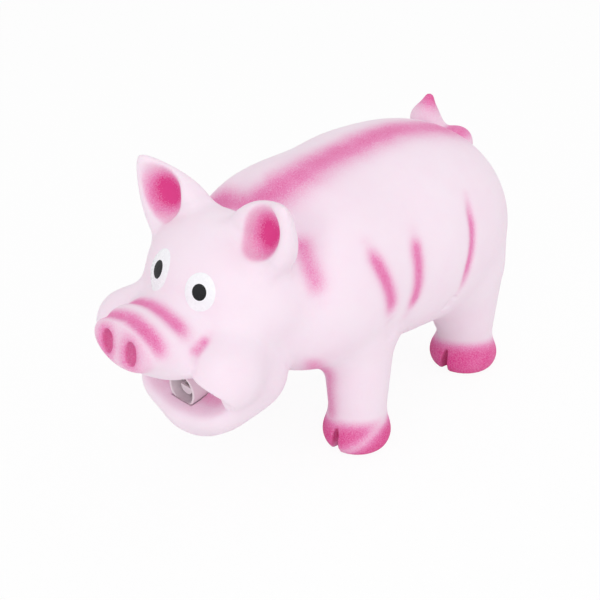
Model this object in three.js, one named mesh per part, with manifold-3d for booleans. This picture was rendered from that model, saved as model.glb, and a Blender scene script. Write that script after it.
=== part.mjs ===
// Latex pig dog toy: a hollow cast skin with a fibre filling and a reed voice in its mouth.
// Millimetres, +Z up. The pig faces -Y, its left side is +X and it stands on the plane z = 0.
// Each soft form is a blend of swells (ellipsoids) and limbs (tapering round rods). A skin is drawn over
// it as rings of points that move in to an axis until they meet the blend, so it swells and tapers.

import * as THREE from 'three';
import { mergeVertices } from 'three/addons/utils/BufferGeometryUtils.js';
import Module from 'manifold-3d';

const wasm = await Module();
wasm.setup();

// Skin
const WALL = 2.4;
const CREASE_GAP = 0.3;
const BEND_GAP = 0.4;

// Barrel body: barrel, shoulders ahead of it and rump behind it
const BELLY_CLEARANCE = 34;
const BARREL_HALF_WIDTH = 54;
const BARREL_HALF_LENGTH = 74;
const BARREL_HALF_HEIGHT = 49.5;
const SHOULDER_AHEAD = 52;
const SHOULDER_RISE = 0.5;
const SHOULDER_NARROWER = 3;
const SHOULDER_HALF_LENGTH = 47;
const SHOULDER_HALF_HEIGHT = 45.5;
const RUMP_BEHIND = 30;
const RUMP_DROP = 5.5;
const RUMP_NARROWER = 7;
const RUMP_HALF_LENGTH = 43;
const RUMP_HALF_HEIGHT = 45;
const BODY_BLEND = 16;

// Oval of the back that a hand presses in
const PANEL_HALF_WIDTH = 24;
const PANEL_HALF_LENGTH = 42;

// Legs: hip inside the body, hoof on the floor. The right legs step ahead of the left ones.
const FRONT_HIP_INSET = 24;
const FRONT_HIP_BACK = 11;
const FRONT_HIP_HEIGHT = 56;
const FRONT_HIP_RADIUS = 16.5;
const FRONT_ANKLE_RADIUS = 13.5;
const FRONT_HOOF_RADIUS = 16;
const FRONT_LEFT_SPLAY = 1.5;
const FRONT_LEFT_STEP = 0.5;
const FRONT_RIGHT_SPLAY = 6;
const FRONT_RIGHT_STEP = 11;
const REAR_HIP_INSET = 27;
const REAR_HIP_BACK = 8;
const REAR_HIP_HEIGHT = 60;
const REAR_HIP_RADIUS = 22;
const REAR_ANKLE_RADIUS = 14;
const REAR_HOOF_RADIUS = 17.5;
const REAR_LEFT_SPLAY = -0.5;
const REAR_LEFT_STEP = -12;
const REAR_RIGHT_SPLAY = 2;
const REAR_RIGHT_STEP = 11;
const ANKLE_HEIGHT = 20;
const HOOF_HEIGHT = 6;
const HOOF_HALF_HEIGHT = 12;
const HOOF_BLEND = 7;
const CLEFT_HALF_WIDTH = 1.8;
const CLEFT_DEPTH = 7;
const CLEFT_HEIGHT = 10;

// Head: skull ahead of the shoulders, with cheeks, jowls, jaw and snout placed from the skull's centre.
// The smile cuts the face under the cheeks, and jaw and snout then close on it as a mouth does.
const SKULL_AHEAD = 37;
const SKULL_RISE = 8;
const SKULL_HALF_WIDTH = 38.5;
const SKULL_HALF_LENGTH = 33;
const SKULL_HALF_HEIGHT = 31;
const CHEEK_OUT = 29.6;
const CHEEK_AHEAD = 31;
const CHEEK_DROP = 20;
const CHEEK_RADIUS = 14.5;
const CHEEK_BLEND = 14;
const JOWL_OUT = 17;
const JOWL_AHEAD = 11;
const JOWL_DROP = 32;
const JOWL_RADIUS = 20.5;
const JOWL_BLEND = 10;
const JAW_AHEAD = 19;
const JAW_DROP = 48;
const JAW_HALF_WIDTH = 22;
const JAW_HALF_LENGTH = 18;
const JAW_HALF_HEIGHT = 18.5;
const JAW_BLEND = 10;
const LIP_OUT = 15.5;
const LIP_AHEAD = 24;
const LIP_DROP = 44;
const LIP_RADIUS = 12;
const LIP_BLEND = 6;
const SNOUT_AHEAD = 49;
const SNOUT_DROP = 9;
const SNOUT_HALF_WIDTH = 18.5;
const SNOUT_HALF_LENGTH = 22;
const SNOUT_HALF_HEIGHT = 11.5;
const DISC_AHEAD = 12.5;
const DISC_TILT_DEG = 10;
const DISC_ROUNDING = 4;
const MUZZLE_AHEAD = 35;
const MUZZLE_DROP = 14;
const MUZZLE_HALF_WIDTH = 23.5;
const MUZZLE_HALF_LENGTH = 19;
const MUZZLE_HALF_HEIGHT = 15;
const MUZZLE_BLEND = 8;
const NOSTRIL_OUT = 7.7;
const NOSTRIL_HALF_WIDTH = 3.4;
const NOSTRIL_DEPTH = 5;
const NOSTRIL_HALF_HEIGHT = 4.9;
const SMILE_AHEAD = 51;
const SMILE_DROP = 37;
const SMILE_HALF_WIDTH = 59;
const SMILE_HALF_LENGTH = 22;
const SMILE_HALF_HEIGHT = 22.7;
const MOUTH_AHEAD = 35;
const MOUTH_DROP = 35.5;
const MOUTH_HALF_WIDTH = 26;
const MOUTH_HALF_LENGTH = 20;
const MOUTH_HALF_HEIGHT = 12;

// Ears: pointed leaves that stand on the skull, cupped in front. The skew leans the tip outwards,
// the turn brings the outer edge forwards and the curl the tip.
const EAR_SPREAD_DEG = 49;
const EAR_AHEAD_DEG = 6.5;
const EAR_LEAN_DEG = 26;
const EAR_HALF_WIDTH = 14.5;
const EAR_HALF_THICKNESS = 7.5;
const EAR_HALF_LENGTH = 26.5;
const EAR_STAND = 2;
const EAR_POINT = 0.5;
const EAR_THINNING = 0.5;
const EAR_SKEW = 0.18;
const EAR_TURN = 0.22;
const EAR_CURL = 0.007;
const CUP_UP = 9.5;
const CUP_AHEAD = 6;
const CUP_HALF_WIDTH = 8.5;
const CUP_HALF_LENGTH = 13;
const CUP_DEPTH = 8;
const EAR_BEND_RADIUS = 9.5;

// Tail: a lobe on the rump that curls over to the right and ends in an upright tip.
// RISE is measured out from the rump at the lobe and RUN along it, up towards the back.
const TAIL_ANGLE_DEG = 41;
const TAIL_SINK = 10;
const LOBE_RADIUS = 8;
const DIP_OUT = 9.5;
const DIP_RISE = 2;
const DIP_RUN = 2.2;
const DIP_RADIUS = 4;
const CURL_OUT = 19;
const CURL_RISE = 5;
const CURL_RUN = 8;
const CURL_RADIUS = 6.5;
const TIP_OUT = 17.5;
const TIP_RISE = 12;
const TIP_RUN = 15.4;
const TIP_RADIUS = 2.4;
const TAIL_BEND_RADIUS = 8.5;

// Filling
const FILLING_GAP = 0.5;

// Voice: a tube through the mouth's back wall, a reed block in its inner end, a reed and a wedge
const TUBE_RADIUS = 8;
const TUBE_WALL = 1.2;
const TUBE_LENGTH = 24;
const TUBE_DROP = 6;
const TUBE_SET_BACK = 5;
const TUBE_BEAD = 0.8;
const TUBE_BEAD_WIDTH = 2;
const TUBE_BEAD_FROM_END = 5;
const VOICE_GAP = 0.3;
const PLUG_LENGTH = 5;
const PLUG_RIM = 1.7;
const SHALLOT_RADIUS = 3.6;
const SHALLOT_LENGTH = 16;
const AIRWAY_RADIUS = 2.4;
const SHALLOT_TIP = 1;
const REED_WIDTH = 5.6;
const REED_THICKNESS = 0.35;
const REED_OVERHANG = 1.5;
const REED_ROOT = 3.5;
const WEDGE_HEIGHT = 1.4;
const WEDGE_LENGTH = 4.4;

// Facets
const BODY_RINGS = 16;
const BODY_SIDES = 24;
const HEAD_RINGS = 22;
const HEAD_SIDES = 24;
const SNOUT_RINGS = 12;
const SNOUT_SIDES = 16;
const THROAT_RINGS = 9;
const THROAT_SIDES = 16;
const HEAD_HOLLOW_RINGS = 8;
const HEAD_HOLLOW_SIDES = 10;
const HOLLOW_RINGS = 10;
const HOLLOW_SIDES = 14;
const LEG_RINGS = 10;
const LEG_SIDES = 14;
const LEG_HOLLOW_RINGS = 6;
const LEG_HOLLOW_SIDES = 8;
const CUT_SIDES = 14;
const CUT_RINGS = 8;
const PANEL_SIDES = 30;
const TAIL_RINGS = 6;
const TAIL_SIDES = 8;
const TUBE_SIDES = 28;

// How a ring's point moves in to its form
const REACH = 130;
const LEAST_RADIUS = 0.2;
const STRIDE = 0.7;
const MEET_TOLERANCE = 0.005;
const MEET_STEPS = 120;
const CUT_PAST = 20;

const vec = (x, y, z) => new THREE.Vector3(x, y, z);
const X_AXIS = vec(1, 0, 0);
const Y_AXIS = vec(0, 1, 0);
const rad = THREE.MathUtils.degToRad;

// Forms: functions from a point to its distance outside the form

const swell = (at, half) => (p) => {
  const offset = p.clone().sub(at).divide(half);
  const share = offset.length();
  const slope = offset.divide(half).length();
  return slope === 0 ? -Math.min(half.x, half.y, half.z) : (share * (share - 1)) / slope;
};

const limb = (from, to, fromRadius, toRadius) => {
  const along = to.clone().sub(from);
  const length = along.length();
  along.normalize();
  const lean = (fromRadius - toRadius) / length;
  const rise = Math.sqrt(1 - lean * lean);
  return (p) => {
    const offset = p.clone().sub(from);
    const height = offset.dot(along);
    const out = Math.sqrt(Math.max(offset.lengthSq() - height * height, 0));
    const place = rise * height - lean * out;
    if (place < 0) return offset.length() - fromRadius;
    if (place > rise * length) return p.distanceTo(to) - toRadius;
    return rise * out + lean * height - fromRadius;
  };
};

const soften = (a, b, radius) => {
  const share = THREE.MathUtils.clamp(0.5 + (0.5 * (b - a)) / radius, 0, 1);
  return b + (a - b) * share - radius * share * (1 - share);
};

const blend = (first, second, radius) => (p) => soften(first(p), second(p), radius);

const inset = (form, depth) => (p) => form(p) + depth;

// A form cut off by a plane, with a soft edge
const trim = (form, at, outward, radius) => (p) =>
  -soften(-form(p), -outward.dot(p.clone().sub(at)), radius);

const bothSides = (form) => (p) => form(vec(Math.abs(p.x), p.y, p.z));

// Distance from an axis, along a direction, at which a form less a depth begins
function meet(form, from, direction, depth) {
  let distance = REACH;
  for (let step = 0; step < MEET_STEPS && distance > LEAST_RADIUS; step += 1) {
    const gap = form(from.clone().addScaledVector(direction, distance)) + depth;
    if (gap < MEET_TOLERANCE) break;
    distance -= gap * STRIDE;
  }
  return Math.max(distance, LEAST_RADIUS);
}

// Solids

function solid(geometry) {
  const bare = geometry.clone();
  bare.deleteAttribute('normal');
  bare.deleteAttribute('uv');
  const merged = mergeVertices(bare);
  return new wasm.Manifold(
    new wasm.Mesh({
      numProp: 3,
      vertProperties: new Float32Array(merged.attributes.position.array),
      triVerts: new Uint32Array(merged.index.array),
    }),
  );
}

// Closed solid from a first pole, rings of points and a last pole
function ringed(firstPole, rings, lastPole) {
  const sides = rings[0].length;
  const points = [firstPole, ...rings.flat(), lastPole];
  const last = points.length - 1;
  const at = (ring, side) => 1 + ring * sides + (side % sides);
  const faces = [];
  for (let side = 0; side < sides; side += 1) {
    faces.push(0, at(0, side), at(0, side + 1));
    for (let ring = 0; ring < rings.length - 1; ring += 1) {
      const corners = [at(ring, side), at(ring + 1, side), at(ring + 1, side + 1), at(ring, side + 1)];
      faces.push(corners[0], corners[1], corners[2], corners[0], corners[2], corners[3]);
    }
    faces.push(at(rings.length - 1, side), last, at(rings.length - 1, side + 1));
  }
  const geometry = new THREE.BufferGeometry();
  geometry.setAttribute('position', new THREE.Float32BufferAttribute(points.flatMap((p) => p.toArray()), 3));
  geometry.setIndex(faces);
  return solid(geometry);
}

// Skin of a form: rings round an axis through a point inside it, closer together at both ends.
// A depth above 0 gives the hollow under a wall of that thickness, and one below 0 a clearance round it.
// The ring centres may dip below the axis midway, to look into a form that hangs down there.
function skin(form, inside, along, ringCount, sides, depth = 0, dip = 0) {
  const axis = along.clone().normalize();
  const side = Math.abs(axis.x) > Math.abs(axis.y) ? Y_AXIS.clone() : X_AXIS.clone();
  side.addScaledVector(axis, -side.dot(axis)).normalize();
  const across = axis.clone().cross(side);
  const ahead = meet(form, inside, axis, depth);
  const behind = meet(form, inside, axis.clone().negate(), depth);
  const place = (distance) => inside.clone().addScaledVector(axis, distance);
  const rings = [];
  for (let ring = 1; ring < ringCount; ring += 1) {
    const share = 0.5 - 0.5 * Math.cos((Math.PI * ring) / ringCount);
    const centre = place(-behind + (ahead + behind) * share);
    centre.z -= dip * Math.sin(Math.PI * share);
    const points = [];
    for (let corner = 0; corner < sides; corner += 1) {
      const angle = (2 * Math.PI * corner) / sides;
      const out = side.clone().multiplyScalar(Math.cos(angle)).addScaledVector(across, Math.sin(angle));
      points.push(centre.clone().addScaledVector(out, meet(form, centre, out, depth)));
    }
    rings.push(points.reverse());
  }
  return ringed(place(-behind), rings, place(ahead));
}

// Skin of a form that is seen whole from one point inside it: rings round a line along Y through that point
function shell(form, centre, ringCount, sides, depth = 0) {
  const point = (tilt, angle) => {
    const round = Math.sin(tilt);
    const out = vec(round * Math.cos(angle), -Math.cos(tilt), -round * Math.sin(angle));
    return centre.clone().addScaledVector(out, meet(form, centre, out, depth));
  };
  const rings = [];
  for (let ring = 1; ring < ringCount; ring += 1) {
    const points = [];
    for (let corner = 0; corner < sides; corner += 1) {
      points.push(point((Math.PI * ring) / ringCount, (2 * Math.PI * corner) / sides));
    }
    rings.push(points.reverse());
  }
  return ringed(point(0, 0), rings, point(Math.PI, 0));
}

// Ellipsoid to cut with
function bulb(at, half, turn = new THREE.Quaternion()) {
  const geometry = new THREE.SphereGeometry(1, CUT_SIDES, CUT_RINGS);
  geometry.applyMatrix4(new THREE.Matrix4().compose(at, turn, half));
  return solid(geometry);
}

// Round bar between two points
function bar(from, to, radius, sides = TUBE_SIDES) {
  const along = to.clone().sub(from);
  const geometry = new THREE.CylinderGeometry(radius, radius, along.length(), sides);
  geometry.applyQuaternion(new THREE.Quaternion().setFromUnitVectors(Y_AXIS, along.clone().normalize()));
  const middle = from.clone().lerp(to, 0.5);
  geometry.translate(middle.x, middle.y, middle.z);
  return solid(geometry);
}

// Box between two corners
function block(low, high) {
  const size = high.clone().sub(low);
  const middle = low.clone().lerp(high, 0.5);
  const geometry = new THREE.BoxGeometry(size.x, size.y, size.z);
  geometry.translate(middle.x, middle.y, middle.z);
  return solid(geometry);
}

// Places: each form is placed from the one that carries it

const barrelAt = vec(0, 0, BELLY_CLEARANCE + BARREL_HALF_HEIGHT);
const shoulderAt = barrelAt.clone().add(vec(0, -SHOULDER_AHEAD, SHOULDER_RISE));
const rumpAt = barrelAt.clone().add(vec(0, RUMP_BEHIND, -RUMP_DROP));
const skullAt = shoulderAt.clone().add(vec(0, -SKULL_AHEAD, SKULL_RISE));
const cheekAt = skullAt.clone().add(vec(CHEEK_OUT, -CHEEK_AHEAD, -CHEEK_DROP));
const jowlAt = skullAt.clone().add(vec(JOWL_OUT, -JOWL_AHEAD, -JOWL_DROP));
const jawAt = skullAt.clone().add(vec(0, -JAW_AHEAD, -JAW_DROP));
const lipAt = skullAt.clone().add(vec(LIP_OUT, -LIP_AHEAD, -LIP_DROP));
const snoutAt = skullAt.clone().add(vec(0, -SNOUT_AHEAD, -SNOUT_DROP));
const muzzleAt = skullAt.clone().add(vec(0, -MUZZLE_AHEAD, -MUZZLE_DROP));
const smileAt = skullAt.clone().add(vec(0, -SMILE_AHEAD, -SMILE_DROP));
const mouthAt = skullAt.clone().add(vec(0, -MOUTH_AHEAD, -MOUTH_DROP));
const ball = (radius) => vec(radius, radius, radius);

// Body

const barrelHalf = vec(BARREL_HALF_WIDTH, BARREL_HALF_LENGTH, BARREL_HALF_HEIGHT);
const shoulderHalf = vec(BARREL_HALF_WIDTH - SHOULDER_NARROWER, SHOULDER_HALF_LENGTH, SHOULDER_HALF_HEIGHT);
const rumpHalf = vec(BARREL_HALF_WIDTH - RUMP_NARROWER, RUMP_HALF_LENGTH, RUMP_HALF_HEIGHT);
const trunk = blend(swell(barrelAt, barrelHalf), swell(rumpAt, rumpHalf), BODY_BLEND);
const bodyForm = blend(trunk, swell(shoulderAt, shoulderHalf), BODY_BLEND);
const bodyOuter = skin(bodyForm, barrelAt, Y_AXIS, BODY_RINGS, BODY_SIDES);
const bodyRoom = skin(bodyForm, barrelAt, Y_AXIS, BODY_RINGS, BODY_SIDES, -CREASE_GAP);
const bodyHollow = skin(bodyForm, barrelAt, Y_AXIS, HOLLOW_RINGS, HOLLOW_SIDES, WALL);

// Head: the hollow follows its core, so cheeks and snout are cast thick

const skullHalf = vec(SKULL_HALF_WIDTH, SKULL_HALF_LENGTH, SKULL_HALF_HEIGHT);
const jawHalf = vec(JAW_HALF_WIDTH, JAW_HALF_LENGTH, JAW_HALF_HEIGHT);
const snoutHalf = vec(SNOUT_HALF_WIDTH, SNOUT_HALF_LENGTH, SNOUT_HALF_HEIGHT);
const muzzleHalf = vec(MUZZLE_HALF_WIDTH, MUZZLE_HALF_LENGTH, MUZZLE_HALF_HEIGHT);
const jowls = bothSides(swell(jowlAt, ball(JOWL_RADIUS)));
const cheeks = bothSides(swell(cheekAt, ball(CHEEK_RADIUS)));
const lips = bothSides(swell(lipAt, ball(LIP_RADIUS)));
const jowled = blend(swell(skullAt, skullHalf), jowls, JOWL_BLEND);
const core = blend(jowled, swell(jawAt, jawHalf), WALL);
const chin = blend(swell(jawAt, jawHalf), lips, LIP_BLEND);
const throat = blend(chin, inset(jowled, WALL / 2), JAW_BLEND);
const discAt = snoutAt.clone().add(vec(0, -DISC_AHEAD, 0));
const discOut = vec(0, -Math.cos(rad(DISC_TILT_DEG)), Math.sin(rad(DISC_TILT_DEG)));
const nose = trim(swell(snoutAt, snoutHalf), discAt, discOut, DISC_ROUNDING);
const snout = blend(nose, swell(muzzleAt, muzzleHalf), MUZZLE_BLEND);
const face = blend(jowled, cheeks, CHEEK_BLEND);
const faceAt = vec(0, (skullAt.y + cheekAt.y) / 2, muzzleAt.z);
const throatAxisAt = vec(0, lipAt.y, (jowlAt.z + jawAt.z) / 2);
const faceOuter = shell(face, faceAt, HEAD_RINGS, HEAD_SIDES);
const headRoom = shell(face, faceAt, HEAD_RINGS, HEAD_SIDES, -CREASE_GAP);
const snoutOuter = skin(snout, muzzleAt, Y_AXIS, SNOUT_RINGS, SNOUT_SIDES);
const throatOuter = skin(throat, throatAxisAt, Y_AXIS, THROAT_RINGS, THROAT_SIDES);
const headHollow = skin(
  core,
  skullAt,
  Y_AXIS,
  HEAD_HOLLOW_RINGS,
  HEAD_HOLLOW_SIDES,
  WALL,
  (skullAt.z - jawAt.z) / 2,
);

// Ears: a blade with a cup in it, cut free of its stump along a round face about the line it bends on

function ear(sign) {
  const spread = rad(EAR_SPREAD_DEG);
  const turnAhead = rad(EAR_AHEAD_DEG);
  const outward = vec(
    sign * Math.sin(spread) * Math.cos(turnAhead),
    -Math.sin(turnAhead),
    Math.cos(spread) * Math.cos(turnAhead),
  );
  const root = skullAt.clone().addScaledVector(outward, meet(face, skullAt, outward, 0));
  const length = vec(sign * Math.sin(rad(EAR_LEAN_DEG)), 0, Math.cos(rad(EAR_LEAN_DEG)));
  const front = Y_AXIS.clone().negate();
  const width = front.clone().cross(length);
  const at = root.clone().addScaledVector(length, EAR_STAND);
  const place = new THREE.Matrix4().makeBasis(width, front, length).setPosition(at);
  const leaf = (half, ahead, up, point, thinning, skew) => {
    const geometry = new THREE.SphereGeometry(1, CUT_SIDES, CUT_RINGS);
    geometry.rotateX(Math.PI / 2);
    const points = geometry.attributes.position;
    for (let i = 0; i < points.count; i += 1) {
      const share = vec(points.getX(i), points.getY(i), points.getZ(i));
      const along = up + half.z * share.z;
      const narrowed = 1 - point * Math.max(share.z, 0) ** 2;
      const out = -sign * half.x * share.x * narrowed + skew * along;
      const turned = EAR_TURN * out + EAR_CURL * Math.max(along, 0) ** 2;
      points.setXYZ(i, -sign * out, ahead + half.y * share.y * (1 - thinning * share.z) + turned, along);
    }
    geometry.applyMatrix4(place);
    return solid(geometry);
  };
  const bladeHalf = vec(EAR_HALF_WIDTH, EAR_HALF_THICKNESS, EAR_HALF_LENGTH);
  const blade = leaf(bladeHalf, 0, 0, EAR_POINT, EAR_THINNING, EAR_SKEW);
  const cup = leaf(vec(CUP_HALF_WIDTH, CUP_DEPTH, CUP_HALF_LENGTH), CUP_AHEAD, CUP_UP, 0, 0, 0);
  const whole = blade.subtract(cup);
  const reach = width.clone().multiplyScalar(2 * EAR_HALF_WIDTH);
  const bend = (radius) => bar(root.clone().sub(reach), root.clone().add(reach), radius);
  return {
    stump: whole.intersect(bend(EAR_BEND_RADIUS)),
    flap: whole.subtract(bend(EAR_BEND_RADIUS + BEND_GAP)).subtract(headRoom),
  };
}

const leftEar = ear(1);
const rightEar = ear(-1);

// Mouth, nostrils and the tube's hole in the head

const mouthHalf = vec(MOUTH_HALF_WIDTH, MOUTH_HALF_LENGTH, MOUTH_HALF_HEIGHT);
const nostrilHalf = vec(NOSTRIL_HALF_WIDTH, NOSTRIL_DEPTH, NOSTRIL_HALF_HEIGHT);
const smileHalf = vec(SMILE_HALF_WIDTH, SMILE_HALF_LENGTH, SMILE_HALF_HEIGHT);
const nostrilAt = (sign) => {
  const before = vec(sign * NOSTRIL_OUT, snoutAt.y, snoutAt.z);
  return before.addScaledVector(Y_AXIS, -meet(snout, before, Y_AXIS.clone().negate(), 0));
};
const smile = bulb(smileAt, smileHalf);
const recesses = (extra) =>
  [1, -1].reduce(
    (all, sign) => all.add(bulb(nostrilAt(sign), nostrilHalf.clone().addScalar(extra))),
    bulb(mouthAt, mouthHalf.clone().addScalar(extra)),
  );
const tubeEndAt = mouthAt.clone().add(vec(0, TUBE_SET_BACK, -TUBE_DROP));
const alongTube = (distance, up = 0) => tubeEndAt.clone().add(vec(0, distance, up));
const voiceLength = TUBE_LENGTH + VOICE_GAP + PLUG_RIM;
const beadFrom = TUBE_LENGTH - TUBE_BEAD_FROM_END - TUBE_BEAD_WIDTH;
const tubeHole = bar(tubeEndAt, alongTube(voiceLength + VOICE_GAP), TUBE_RADIUS + VOICE_GAP);
const beadRoom = bar(
  alongTube(beadFrom - VOICE_GAP),
  alongTube(voiceLength + VOICE_GAP),
  TUBE_RADIUS + TUBE_BEAD + VOICE_GAP,
);
const voiceRoom = tubeHole.add(beadRoom);

const headSkin = faceOuter
  .subtract(smile)
  .add(snoutOuter)
  .add(throatOuter)
  .add(leftEar.stump)
  .add(rightEar.stump)
  .subtract(headHollow.subtract(recesses(WALL)))
  .subtract(recesses(0))
  .subtract(voiceRoom)
  .subtract(bodyRoom);

// Tail

const tailAngle = rad(TAIL_ANGLE_DEG);
const tailRise = vec(0, Math.cos(tailAngle), Math.sin(tailAngle));
const tailRun = X_AXIS.clone().cross(tailRise);
const lobeAt = rumpAt.clone().addScaledVector(tailRise, meet(bodyForm, rumpAt, tailRise, 0));

function tailCurl() {
  const stage = (out, rise, run, radius) => {
    const at = lobeAt.clone().addScaledVector(X_AXIS, -out);
    at.addScaledVector(tailRise, rise).addScaledVector(tailRun, run);
    return { at, radius };
  };
  const stages = [
    stage(0, -TAIL_SINK, 0, LOBE_RADIUS),
    stage(0, 0, 0, LOBE_RADIUS),
    stage(DIP_OUT, DIP_RISE, DIP_RUN, DIP_RADIUS),
    stage(CURL_OUT, CURL_RISE, CURL_RUN, CURL_RADIUS),
    stage(TIP_OUT, TIP_RISE, TIP_RUN, TIP_RADIUS),
  ];
  const stretches = stages.slice(1).map((after, i) => {
    const before = stages[i];
    const form = limb(before.at, after.at, before.radius, after.radius);
    const along = after.at.clone().sub(before.at);
    return skin(form, before.at.clone().lerp(after.at, 0.5), along, TAIL_RINGS, TAIL_SIDES);
  });
  return stretches.reduce((all, stretch) => all.add(stretch));
}

// The tail bends on a line across it through the lobe
const tailWhole = tailCurl();
const tailReach = X_AXIS.clone().multiplyScalar(CURL_OUT + CUT_PAST);
const tailBend = (radius) => bar(lobeAt.clone().sub(tailReach), lobeAt.clone().add(tailReach), radius);
const tailStump = tailWhole.intersect(tailBend(TAIL_BEND_RADIUS));
const tailFlap = tailWhole.subtract(tailBend(TAIL_BEND_RADIUS + BEND_GAP)).subtract(bodyRoom);

// Legs

function leg({ hip, foot, hipRadius, ankleRadius, hoofRadius }) {
  const ankle = foot.clone().setZ(ANKLE_HEIGHT);
  const rod = limb(hip, ankle, hipRadius, ankleRadius);
  const hoofHalf = vec(hoofRadius, hoofRadius, HOOF_HALF_HEIGHT);
  const whole = blend(rod, swell(foot.clone().setZ(HOOF_HEIGHT), hoofHalf), HOOF_BLEND);
  const middle = hip.clone().lerp(ankle, 0.5);
  const along = hip.clone().sub(ankle);
  const outer = skin(whole, middle, along, LEG_RINGS, LEG_SIDES);
  const hollow = skin(rod, middle, along, LEG_HOLLOW_RINGS, LEG_HOLLOW_SIDES, WALL);
  const cleftAt = foot.clone().add(vec(0, -hoofRadius, 0));
  const cleft = bulb(cleftAt, vec(CLEFT_HALF_WIDTH, CLEFT_DEPTH, CLEFT_HEIGHT));
  const wide = CUT_PAST + hoofRadius;
  const below = block(foot.clone().add(vec(-wide, -wide, -wide)), foot.clone().add(vec(wide, wide, 0)));
  return { hollow, skin: outer.subtract(hollow).subtract(cleft).subtract(below).subtract(bodyRoom) };
}

const frontSizes = {
  hipRadius: FRONT_HIP_RADIUS,
  ankleRadius: FRONT_ANKLE_RADIUS,
  hoofRadius: FRONT_HOOF_RADIUS,
};
const rearSizes = {
  hipRadius: REAR_HIP_RADIUS,
  ankleRadius: REAR_ANKLE_RADIUS,
  hoofRadius: REAR_HOOF_RADIUS,
};
const frontHip = vec(BARREL_HALF_WIDTH - FRONT_HIP_INSET, shoulderAt.y + FRONT_HIP_BACK, FRONT_HIP_HEIGHT);
const rearHip = vec(BARREL_HALF_WIDTH - REAR_HIP_INSET, rumpAt.y + REAR_HIP_BACK, REAR_HIP_HEIGHT);
const stance = (side, hip, splay, step, sizes) =>
  leg({
    hip: vec(side * hip.x, hip.y, hip.z),
    foot: vec(side * (hip.x + splay), hip.y - step, 0),
    ...sizes,
  });
const legs = {
  front_left_leg: stance(1, frontHip, FRONT_LEFT_SPLAY, FRONT_LEFT_STEP, frontSizes),
  front_right_leg: stance(-1, frontHip, FRONT_RIGHT_SPLAY, FRONT_RIGHT_STEP, frontSizes),
  rear_left_leg: stance(1, rearHip, REAR_LEFT_SPLAY, REAR_LEFT_STEP, rearSizes),
  rear_right_leg: stance(-1, rearHip, REAR_RIGHT_SPLAY, REAR_RIGHT_STEP, rearSizes),
};

// Body skin with its neck and hip holes, and the oval of the back that moves in it

function panelOval(extra) {
  const height = BARREL_HALF_HEIGHT + CUT_PAST;
  const geometry = new THREE.CylinderGeometry(1, 1, height, PANEL_SIDES);
  geometry.rotateX(Math.PI / 2);
  geometry.scale(PANEL_HALF_WIDTH + extra, PANEL_HALF_LENGTH + extra, 1);
  geometry.translate(barrelAt.x, barrelAt.y, barrelAt.z + height / 2);
  return solid(geometry);
}

const bodyShell = bodyOuter.add(tailStump).subtract(bodyHollow);
const bodySkin = Object.values(legs)
  .reduce((shell, { hollow }) => shell.subtract(hollow), bodyShell)
  .subtract(headHollow)
  .subtract(voiceRoom)
  .subtract(panelOval(BEND_GAP));
const backPanel = bodyShell.intersect(panelOval(0));

// Filling

const filling = skin(bodyForm, barrelAt, Y_AXIS, HOLLOW_RINGS, HOLLOW_SIDES, WALL + FILLING_GAP);

// Voice, drawn along +Y from the tube's open end

const boreRadius = TUBE_RADIUS - TUBE_WALL;
const plugRadius = boreRadius - VOICE_GAP;
const plugFrom = TUBE_LENGTH - PLUG_LENGTH;
const slotHeight = VOICE_GAP + REED_THICKNESS + VOICE_GAP + WEDGE_HEIGHT + VOICE_GAP;

function voiceTube() {
  const profile = [
    [boreRadius, 0],
    [TUBE_RADIUS, 0],
    [TUBE_RADIUS, beadFrom],
    [TUBE_RADIUS + TUBE_BEAD, beadFrom + TUBE_BEAD_WIDTH / 2],
    [TUBE_RADIUS, beadFrom + TUBE_BEAD_WIDTH],
    [TUBE_RADIUS, TUBE_LENGTH],
    [boreRadius, TUBE_LENGTH],
    [boreRadius, 0],
  ].map(([radius, distance]) => new THREE.Vector2(radius, distance));
  const geometry = new THREE.LatheGeometry(profile, TUBE_SIDES);
  geometry.translate(tubeEndAt.x, tubeEndAt.y, tubeEndAt.z);
  return solid(geometry);
}

function reedBlock() {
  const plug = bar(alongTube(plugFrom), alongTube(voiceLength), plugRadius);
  const rim = bar(alongTube(TUBE_LENGTH + VOICE_GAP), alongTube(voiceLength), TUBE_RADIUS);
  const tip = plugFrom - SHALLOT_LENGTH;
  const rod = bar(alongTube(tip), alongTube(plugFrom + PLUG_LENGTH / 2), SHALLOT_RADIUS);
  const upper = block(
    alongTube(tip - 1).add(vec(-CUT_PAST, 0, 0)),
    alongTube(plugFrom, CUT_PAST).add(vec(CUT_PAST, 0, 0)),
  );
  const slot = block(
    alongTube(plugFrom - 1).add(vec(-REED_WIDTH / 2 - VOICE_GAP, 0, 0)),
    alongTube(TUBE_LENGTH, slotHeight).add(vec(REED_WIDTH / 2 + VOICE_GAP, 0, 0)),
  );
  const airway = bar(
    alongTube(tip + SHALLOT_TIP),
    alongTube(voiceLength + 1),
    AIRWAY_RADIUS,
    CUT_SIDES,
  );
  return plug.add(rim).add(rod.subtract(upper)).subtract(slot).subtract(airway);
}

function reed() {
  const half = REED_WIDTH / 2;
  const tip = plugFrom - SHALLOT_LENGTH + REED_OVERHANG;
  const outline = new THREE.Shape();
  outline.moveTo(-half, plugFrom + REED_ROOT);
  outline.lineTo(-half, tip + half);
  outline.absarc(0, tip + half, half, Math.PI, 2 * Math.PI, false);
  outline.lineTo(half, plugFrom + REED_ROOT);
  outline.closePath();
  const geometry = new THREE.ExtrudeGeometry(outline, { depth: REED_THICKNESS, bevelEnabled: false });
  geometry.translate(tubeEndAt.x, tubeEndAt.y, tubeEndAt.z + VOICE_GAP);
  return solid(geometry);
}

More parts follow.
